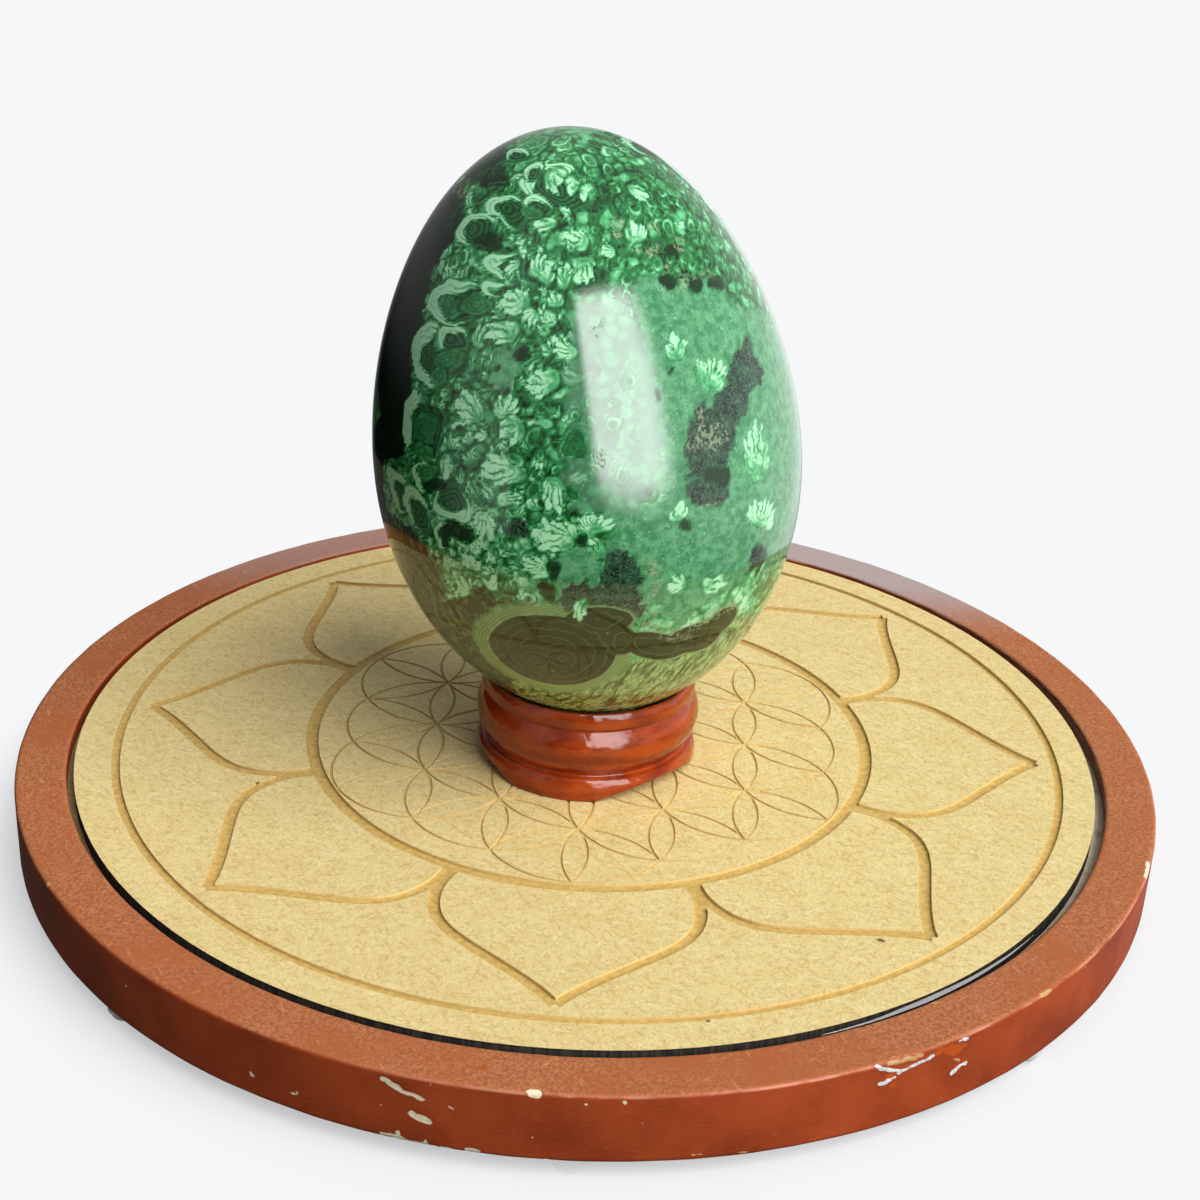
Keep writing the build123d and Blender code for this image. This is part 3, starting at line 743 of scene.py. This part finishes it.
# Sprays: turn, height, half length, half width, angle of the fingers, fingers
leaves = [
    (-90.6, 56.1, 2.7, 2.4, -51, 4), (-79.4, 55.6, 2.3, 1.5, -100, 3), (-73.4, 54.6, 2.2, 1.2, -105, 3),
    (-86.6, 52.3, 1.6, 1.2, -39, 2), (-97.4, 50.1, 2.2, 1.7, 177, 3), (-88.4, 47.6, 3.3, 2.3, 16, 6),
    (-82, 44, 2.5, 2.7, -69, 5), (-96.8, 44, 2.8, 2.7, 60, 5), (-88.6, 42.7, 1.9, 1.8, 86, 5),
    (-110.2, 44.9, 1.6, 1.5, -179, 3), (-105.8, 46.6, 1.3, 1.3, 0, 3), (-106.6, 39.2, 3.8, 2.7, 153, 6),
    (-100.8, 36.3, 1.6, 1.9, -120, 4), (-91.8, 39.5, 1.8, 1.9, 87, 4), (-94, 37, 1.3, 1.4, -92, 4),
    (-111.4, 34.7, 3.5, 2.2, -177, 6), (-91.6, 32.7, 2.3, 2.1, 176, 4), (-119.2, 23, 3.3, 2.9, 155, 5),
    (-107.6, 23.7, 2.8, 3, 74, 5), (-106, 20, 3, 2.2, -150, 5), (-116, 18.6, 1.5, 1.2, -175, 3),
    (-97.4, 27.5, 3.3, 2.3, 178, 6), (-109.2, 13.7, 3.8, 3.2, -168, 6), (-99.8, 15.4, 1.8, 1.8, -93, 4),
    (-96.2, 9.1, 3.4, 2.8, -104, 6), (-107.6, 8.5, 1.9, 1.8, 3, 5), (-115.2, 3.5, 2.6, 3.1, -106, 5),
    (-96, 2.1, 3.5, 3.4, 157, 6), (-88.2, 3.5, 2.4, 2.3, 94, 5), (-101.8, -3.5, 3.1, 2.8, 158, 7),
    (-120.6, -4.7, 2.7, 2.3, 102, 4), (-125.6, 12, 2.8, 2.2, -91, 3), (-90.8, 32, 2.1, 2, 176, 5),
    (-57.2, 30, 3.3, 2.8, 72, 3), (-48.6, 24.4, 3.3, 3.7, 58, 6), (-38, 8.7, 5.4, 4.2, 76, 7),
    (-38.8, -3.1, 2.8, 5.7, 53, 6), (-86.8, 3.2, 2.3, 3.3, 94, 7), (-65.2, 3.3, 2.2, 1.7, 74, 3),
    (-46.8, 52.1, 1.9, 1.8, -54, 4), (-58, 48, 2, 2.1, 65, 5), (-70, 46.3, 1.9, 1.8, 170, 5),
    (-85, 47.9, 2.5, 2.2, 174, 5), (-37.6, 46.8, 2.1, 1.3, 24, 3), (-92.4, -12.5, 3.1, 2, -96, 5),
    (-66.6, -10.2, 2.5, 1.8, 146, 4), (-55.2, -12.7, 3.7, 1.9, -20, 5), (-125.4, -9.9, 1.4, 2.6, 128, 3),
    (-115.4, -7.9, 2.8, 1.6, 62, 3), (-112.6, -1.9, 2.1, 2.3, 82, 4),
]
for leaf in leaves:
    lay_leaf(*leaf)

# Small eyes by turn, height and radius, then green cells and near-black spots as ovals
rings = [
    (-128.8, 45.1, 1.8), (-133, 44.4, 1.5), (-114.4, 30.3, 1), (-117.8, 29.4, 0.8), (-115, 32.2, 1.1),
    (-105.4, 16.3, 1.3), (-99.2, 16.4, 1.3), (-99.8, 19.3, 0.9), (-97.2, 19.1, 0.9), (-97.4, 17.9, 1),
    (-112.6, -1, 1.8), (-111.2, -2.8, 1.1), (-110.2, -4.7, 1.2), (-108, 0, 1), (-131.6, 23.4, 1.4),
    (-135.4, 23.1, 1.3), (-44, 46.5, 1.9), (-31.2, 46.5, 1.4), (-30, 43.8, 1.2), (-33.8, 42.1, 1.2),
    (-41.4, 42.6, 1.9), (-47.6, 42.6, 1.5), (-47.2, 40.6, 0.9), (-40, 41, 1.4), (-55.2, 42, 1.7),
    (-32.4, 40, 1.1), (-18.6, 41.7, 1.9), (-74.8, 42.9, 0.7), (-79.4, 23.6, 1.2), (-78.6, 19.8, 1.7),
    (-85.2, 23.3, 1.3), (-84.6, 20, 1.1), (-79, 11.6, 1.8), (-73.6, 26.7, 1.5), (-89.8, 21.1, 1.4),
    (-93.6, 12.9, 1.4), (-90.4, -11.6, 1.1), (-36.6, -15.3, 1.9),
]
cells = [
    (-91.4, 17.1, 2.6, 2.5, 73), (-102.2, 10.5, 1.7, 1.5, 54), (-90.2, 8.9, 1.6, 1.5, 76),
    (-121.6, 12.9, 1.7, 1.4, 63), (-98, 23.5, 1.5, 1.1, -19),
]
spots = [
    (-104.4, 31.5, 1.6, 1.1, -17), (-110.8, 29.9, 0.7, 0.7, 0), (-90, 1, 1.4, 1.1, -42),
    (-97.2, -4.4, 2.1, 1.2, 82), (-122.8, 1.4, 2.4, 1.8, 23), (-130.6, 8.4, 2.8, 1.3, 16),
    (-43.4, 37.7, 2.2, 1.5, -1), (-54, 39.5, 1.8, 1.3, 1), (-34.2, 36.3, 2.5, 1.2, -10),
    (-46, 43.4, 1.9, 1.3, 39), (-64.4, 0.3, 1.5, 1.2, -45), (-60.8, 26.1, 1.1, 0.7, -12),
    (-66.6, 22.8, 2, 0.7, 79), (-125.6, -0.1, 2.7, 1.4, 51), (-120.6, 47.9, 1.9, 1.3, -9),
    (-100.8, -8.3, 1.7, 1.2, 74), (-53.2, 7.3, 3.1, 2, -23),
]
for ring in rings:
    lay_ring(*ring)
for cell in cells:
    lay_cell(*cell, middle=0.3, rim=0.72)
for spot in spots:
    lay_cell(*spot, middle=0.13, rim=0.24)

# Tan grains between the forms
flecks = [
    (-64.8, 48.9, 1.7, 1, 65), (-50, 47.7, 1.4, 0.8, -5), (-57.2, 44.9, 2.5, 1, -21),
    (-54, 43.7, 1.2, 0.8, -3), (-41.2, 44.5, 1.5, 1, 28), (-51, 41.2, 1.1, 0.8, 0),
    (-48, 39.1, 2.1, 0.9, 43), (-41.4, 39.1, 2.5, 0.5, -15), (-37, 38.2, 1.2, 0.8, 0),
    (-157.8, 54.1, 3.8, 2, 168), (-55.6, 17.6, 0.8, 0.8, 127), (-59.6, 13.6, 1.5, 0.7, 81),
    (-53.8, 14.1, 2.6, 2.1, -22), (-56.4, 2.5, 1.9, 0.8, -19), (-73.2, -9.1, 3.3, 1.2, 97),
    (-74.2, -15.7, 3, 1.5, 87), (-67.6, -21, 4.5, 1.3, -26), (-57.4, -20.1, 3.3, 1.6, 2),
    (-49.4, -19.6, 2.2, 1.2, -5), (-38.6, -6.8, 2.2, 1.2, -28), (-73.4, -6, 1.5, 0.8, -45),
    (-99, -11.6, 1.2, 0.8, 77), (-146, 42.1, 1.1, 0.6, 1), (-85.6, 15.8, 1.1, 0.8, -6),
    (-79, 34.3, 0.9, 0.9, 25), (-115.6, 56.8, 1.3, 0.5, 100), (20, 35, 4, 1.5, 30),
    (60, 10, 5, 1.6, 70), (120, 28, 4, 1.4, 120), (95, -15, 5, 1.5, 20),
]
for fleck in flecks:
    lay_zone("fleck", *fleck)

# The stone is lighter towards its foot, and painted light makes it lighter towards its left, which the lamps
# light less
tone *= 1.05 + 0.25 * ease_step(-stone[:, 2], -10, 5) + 0.1 * ease_step(-stone[:, 0], 0, 20)
lean_cos, lean_sin = np.cos(egg_lean), np.sin(egg_lean)
egg_points = stone @ np.array([[lean_cos, 0, lean_sin], [0, 1, 0], [-lean_sin, 0, lean_cos]]) + egg_mid
egg_faces = grid_faces(egg_rows, egg_columns, open_rows=True, flip=True)
low_row = np.arange(egg_columns)
low_next, low_pole = np.roll(low_row, -1), np.full_like(low_row, len(stone) - 2)
egg_faces += np.stack([low_next, low_row, low_pole], -1).tolist()
to_top = (egg_rows - 1) * egg_columns
egg_faces += np.stack([low_row + to_top, low_next + to_top, low_pole + 1], -1).tolist()

malachite, tree, shader = new_finish("malachite")
drift = times(grain(tree, 420, 2), 6.0)
waves = sum_of("SINE", scaled(field(tree, "depth"), 9.0, drift))
waves = scaled(times(waves, field(tree, "band")), 0.17, 1.0)
lumps = add_node(tree, "TexVoronoi", {"Scale": 480, "Vector": placed(tree, (1, 1, 1), (0.4, 0.2, 0))})
lump = scaled(step(lumps.outputs["Distance"], 0.3, 0.75), -0.55, 0.2)
lump = scaled(lump, step(field(tree, "band"), 0.95, 0.3), 1.0)
rim_line = scaled(step(field(tree, "edge"), 0.05, 0.34), 0.5, 0.5)
wander = scaled(grain(tree, 800, 3), 1.3, -0.65)
valley = sum_of("PINGPONG", sum_of("ADD", field(tree, "finger"), wander), 0.5)
to_vein = sum_of("MAXIMUM", valley, scaled(field(tree, "span"), 0.5, -0.5))
vein_line = scaled(step(to_vein, 0.0, 0.32), 0.5, 0.5)
# Where the flank shade lies, the light is cut nearly to black: painted shade
light = times(waves, field(tree, "tone"), scaled(grain(tree, 1500, 4), 0.8, 0.6), lump, rim_line, vein_line,
              scaled(field(tree, "flank_shade"), -0.86, 1.0))
greens = add_node(tree, "ValToRGB", {"Fac": light})
stops = ((0.0, (3, 16, 7)), (0.16, (14, 56, 25)), (0.4, (45, 132, 71)), (0.66, (98, 197, 131)),
         (0.95, (186, 250, 204)))
for place, _ in stops[1:-1]:
    greens.color_ramp.elements.new(place)
for element, (place, shade) in zip(greens.color_ramp.elements, stops):
    element.position = place
    element.color = tint(*shade)
jade = between(step(grain(tree, 620, 5), 0.34, 0.66), tint(62, 142, 92), tint(102, 178, 126))
jade = between(step(grain(tree, 2400, 3), 0.56, 0.72), jade, tint(30, 96, 58), 0.7)
jade = between(step(grain(tree, 1900, 3), 0.58, 0.74), jade, tint(156, 220, 174), 0.6)
web = step(sum_of("ABSOLUTE", sum_of("SUBTRACT", grain(tree, 1100, 5), 0.5)), 0.035, 0.0)
slate = between(step(grain(tree, 500, 4), 0.36, 0.64), tint(12, 44, 28), tint(38, 84, 58))
slate = between(web, slate, tint(130, 164, 140), 0.42)
strokes = grain(tree, 1000, 3, (1, 1, 3.5), (0.4, 0.5, 0))
fibre = between(step(strokes, 0.38, 0.58), tint(72, 106, 52), tint(166, 208, 138))
hatch_at = {"Scale": 900, "Vector": placed(tree, (1, 1, 2.4), (0, 0.3, 0))}
hatch = add_node(tree, "TexVoronoi", hatch_at, feature="DISTANCE_TO_EDGE").outputs["Distance"]
fibre = between(step(hatch, 0.16, 0.0), fibre, tint(58, 64, 26), 0.5)
wisps = step(grain(tree, 780, 3, (1, 1, 4), (0, 0.55, 0.6)), 0.45, 0.6)
moss = between(wisps, tint(26, 48, 14), tint(102, 138, 70), 0.7)
lines = sum_of("SINE", scaled(field(tree, "hoop"), 13.0, drift))
halo = between(step(lines, -0.4, 0.9), tint(108, 146, 84), tint(150, 184, 118))
hoops = sum_of("SINE", scaled(field(tree, "hoop"), 3.4, drift))
eye = between(step(grain(tree, 250, 4), 0.35, 0.65), tint(13, 36, 10), tint(25, 50, 17))
eye = between(step(hoops, 0.75, 1.0), eye, tint(82, 116, 68), 0.4)
eye = between(step(field(tree, "hoop"), 0.34, 0.12), eye, tint(150, 182, 116), 0.7)
colour = greens.outputs["Color"]
# The window glow is painted light, laid over the stone at a share of 0.6
looks = {"jade": jade, "window_glow": tint(98, 150, 118), "slate": slate, "fibre": fibre, "moss": moss, "halo": halo,
         "eye": eye}
for name, look in looks.items():
    colour = between(field(tree, name), colour, look, 0.6 if name == "window_glow" else None)
crumbs = times(field(tree, "fleck"), step(grain(tree, 1500, 3), 0.46, 0.58))
colour = between(crumbs, colour, tint(142, 158, 120), 0.7)
fill_in(shader, {"Base Color": colour, "Roughness": scaled(crumbs, 0.3, 0.07), "IOR": 1.66})
relief(shader, sum_of("SUBTRACT", 1.0, crumbs), 0.00006, 0.6)
mesh_piece("polished_egg", egg_points, egg_faces, malachite, "egg", "malachite_egg", tone=tone, depth=depth,
           edge=edge, finger=finger, span=span, band=band, hoop=hoop, **zones)

# Stage: a pale floor that keeps the shadow near the object, a dark card behind on the left and a tall
# window card, which only gloss sees, a sun through cloud from the front right, and a pale room.
paper_white = tint(246, 247, 249)


def grey(level):
    """Plain grey light of a level."""
    return (level, level, level, 1)


paper, tree, shader = new_finish("pale_floor")
own, x, y, _ = own_place(tree)
ray = add_node(tree, "LightPath").outputs
lit = between(ray["Is Diffuse Ray"], (0.9, 0.9, 0.91, 1), (0.06, 0.055, 0.05, 1))
fill_in(shader, {"Base Color": lit, "Roughness": 0.9, "Specular IOR Level": 0.1})
dim = between(step(x, 0.02, 0.3), (0.07, 0.065, 0.06, 1), grey(0.9))
dim = between(times(step(x, 0.04, 0.14), step(y, 0.0, 0.06)), dim, grey(1.25))
clear = add_node(tree, "Emission", {"Color": between(ray["Is Glossy Ray"], paper_white, dim)})
spread = scaled(step(distance(tree, "LENGTH", own), 0.107, 0.128), 0.5, 0.5)
seen = sum_of("MAXIMUM", ray["Is Camera Ray"], ray["Is Transmission Ray"])
seen = sum_of("MAXIMUM", times(seen, spread), ray["Is Glossy Ray"])
mixed = add_node(tree, "MixShader", {0: seen, 1: shader.outputs[0], 2: clear.outputs[0]})
fill_in(tree.nodes["Material Output"], {"Surface": mixed.outputs[0]})
floor_z = -0.0002
floor_corners = np.array([(-4, -4, floor_z), (4, -4, floor_z), (4, 4, floor_z), (-4, 4, floor_z)])
floor = mesh_object("floor", floor_corners, [(0, 1, 2, 3)], paper)


def gloss_card(name, points, faces, finish, light, **fields):
    """Card that gives light and that only gloss sees: the camera, soft light and shadows pass it by."""
    tree = finish.node_tree
    fill_in(tree.nodes["Material Output"], {"Surface": add_node(tree, "Emission", light).outputs[0]})
    card = mesh_object(name, points, faces, finish, **fields)
    card.visible_camera = card.visible_diffuse = card.visible_shadow = card.visible_transmission = False
    return card


card_r, card_high, card_count = 0.21, 0.42, 40
card_turn = np.radians(np.linspace(88, 236, card_count))[:, None]
card_places = card_r * np.cos(card_turn), card_r * np.sin(card_turn), np.array([0.0, card_high])
card_grid = np.stack(np.broadcast_arrays(*card_places), -1)
card_faces = grid_faces(card_count, 2, open_rows=True, open_columns=True, flip=True)
dusk, tree, _ = new_finish("dusk")
_, x, y, z = own_place(tree)
gloom = between(step(z, 0.045, 0.15), grey(0.005), (0.24, 0.235, 0.235, 1))
gloom = between(step(y, -0.03, -0.17), gloom, grey(0.6))
gloom = between(step(x, -0.14, 0.0), gloom, grey(0.6))
card = gloss_card("dark_card", card_grid, card_faces, dusk, {"Color": gloom})

pane_count, pane_x, pane_y, pane_way = 25, 0.144, -0.334, np.radians(-66)
across, up = np.meshgrid(*[np.linspace(0, 1, pane_count)] * 2)
pane_u = (-0.112 - 0.09 * up) * (1 - across) + (0.168 + 0.01 * up) * across
pane_z = 0.03 + 0.455 * up - 0.03 * np.sin(np.pi * across) * (1 - up)
pane_grid = np.stack([pane_x - pane_u * np.sin(pane_way), pane_y + pane_u * np.cos(pane_way), pane_z], -1)
pane_glow = ease_step(across, 0, 0.1) * ease_step(1 - across, 0, 0.34)
pane_glow = pane_glow * ease_step(up, 0, 0.16) * ease_step(1 - up, 0, 0.14)
pane_faces = grid_faces(pane_count, pane_count, open_rows=True, open_columns=True)
daylight, tree, _ = new_finish("daylight")
shine = {"Strength": scaled(field(tree, "glow"), 7.6, 0.9)}
window = gloss_card("window_card", pane_grid, pane_faces, daylight, shine, glow=pane_glow)

sun_place, sun_aim = Vector((0.68, -0.55, 0.85)), Vector((0, 0, 0.05))
sun_lamp = bpy.data.lights.new("cloudy_sun", "SUN")
sun_lamp.energy, sun_lamp.angle, sun_lamp.color = 3.4, 1.0, (1.0, 0.985, 0.96)
sun = bpy.data.objects.new("cloudy_sun", sun_lamp)
sun.location = sun_place
sun.rotation_euler = (sun_aim - sun_place).to_track_quat("-Z", "Y").to_euler()
sun.visible_glossy = False
scene.collection.objects.link(sun)

world = bpy.data.worlds.new("studio")
scene.world = world
world.use_nodes = True
tree = world.node_tree
_, x, y, z = own_place(tree, "Generated")
ray = add_node(tree, "LightPath").outputs
room = between(step(x, 0.0, 0.6), grey(0.15), grey(0.92))
room = between(times(step(x, 0.2, 0.5), step(y, 0.15, 0.6)), room, grey(1.0))
room = between(step(z, 0.0, 0.6), room, grey(0.45))
backdrop = tree.nodes["Background"]
fill_in(backdrop, {"Color": between(ray["Is Glossy Ray"], paper_white, room)})
soft = between(step(x, -0.6, 0.6), grey(0.12), grey(1.0))
fill = add_node(tree, "Background", {"Color": soft, "Strength": 0.5})
shown = sum_of("MAXIMUM", ray["Is Camera Ray"], ray["Is Glossy Ray"])
shown = sum_of("MAXIMUM", shown, ray["Is Transmission Ray"])
mixed = add_node(tree, "MixShader", {0: shown, 1: fill.outputs[0], 2: backdrop.outputs[0]})
fill_in(tree.nodes["World Output"], {"Surface": mixed.outputs[0]})

# Camera: as the photograph was taken, close by, looking down at the object and a little askew.
yaw, pitch, roll = np.radians([0.1607, 25.5695, 2.6542])
ahead = Vector((np.sin(yaw) * np.cos(pitch), np.cos(yaw) * np.cos(pitch), -np.sin(pitch)))
level = Vector((np.cos(yaw), -np.sin(yaw), 0))
upright = level.cross(ahead)
right = level * np.cos(roll) + upright * np.sin(roll)
above = upright * np.cos(roll) - level * np.sin(roll)
lens = bpy.data.cameras.new("camera")
lens.lens, lens.sensor_width, lens.clip_start = 60.52, 36.0, 0.01
camera = bpy.data.objects.new("camera", lens)
facing = Matrix((right, above, -ahead)).transposed().to_4x4()
camera.matrix_world = Matrix.Translation((0, -0.35377, 0.21517)) @ facing
scene.collection.objects.link(camera)
scene.camera = camera
scene.view_settings.view_transform = "Standard"
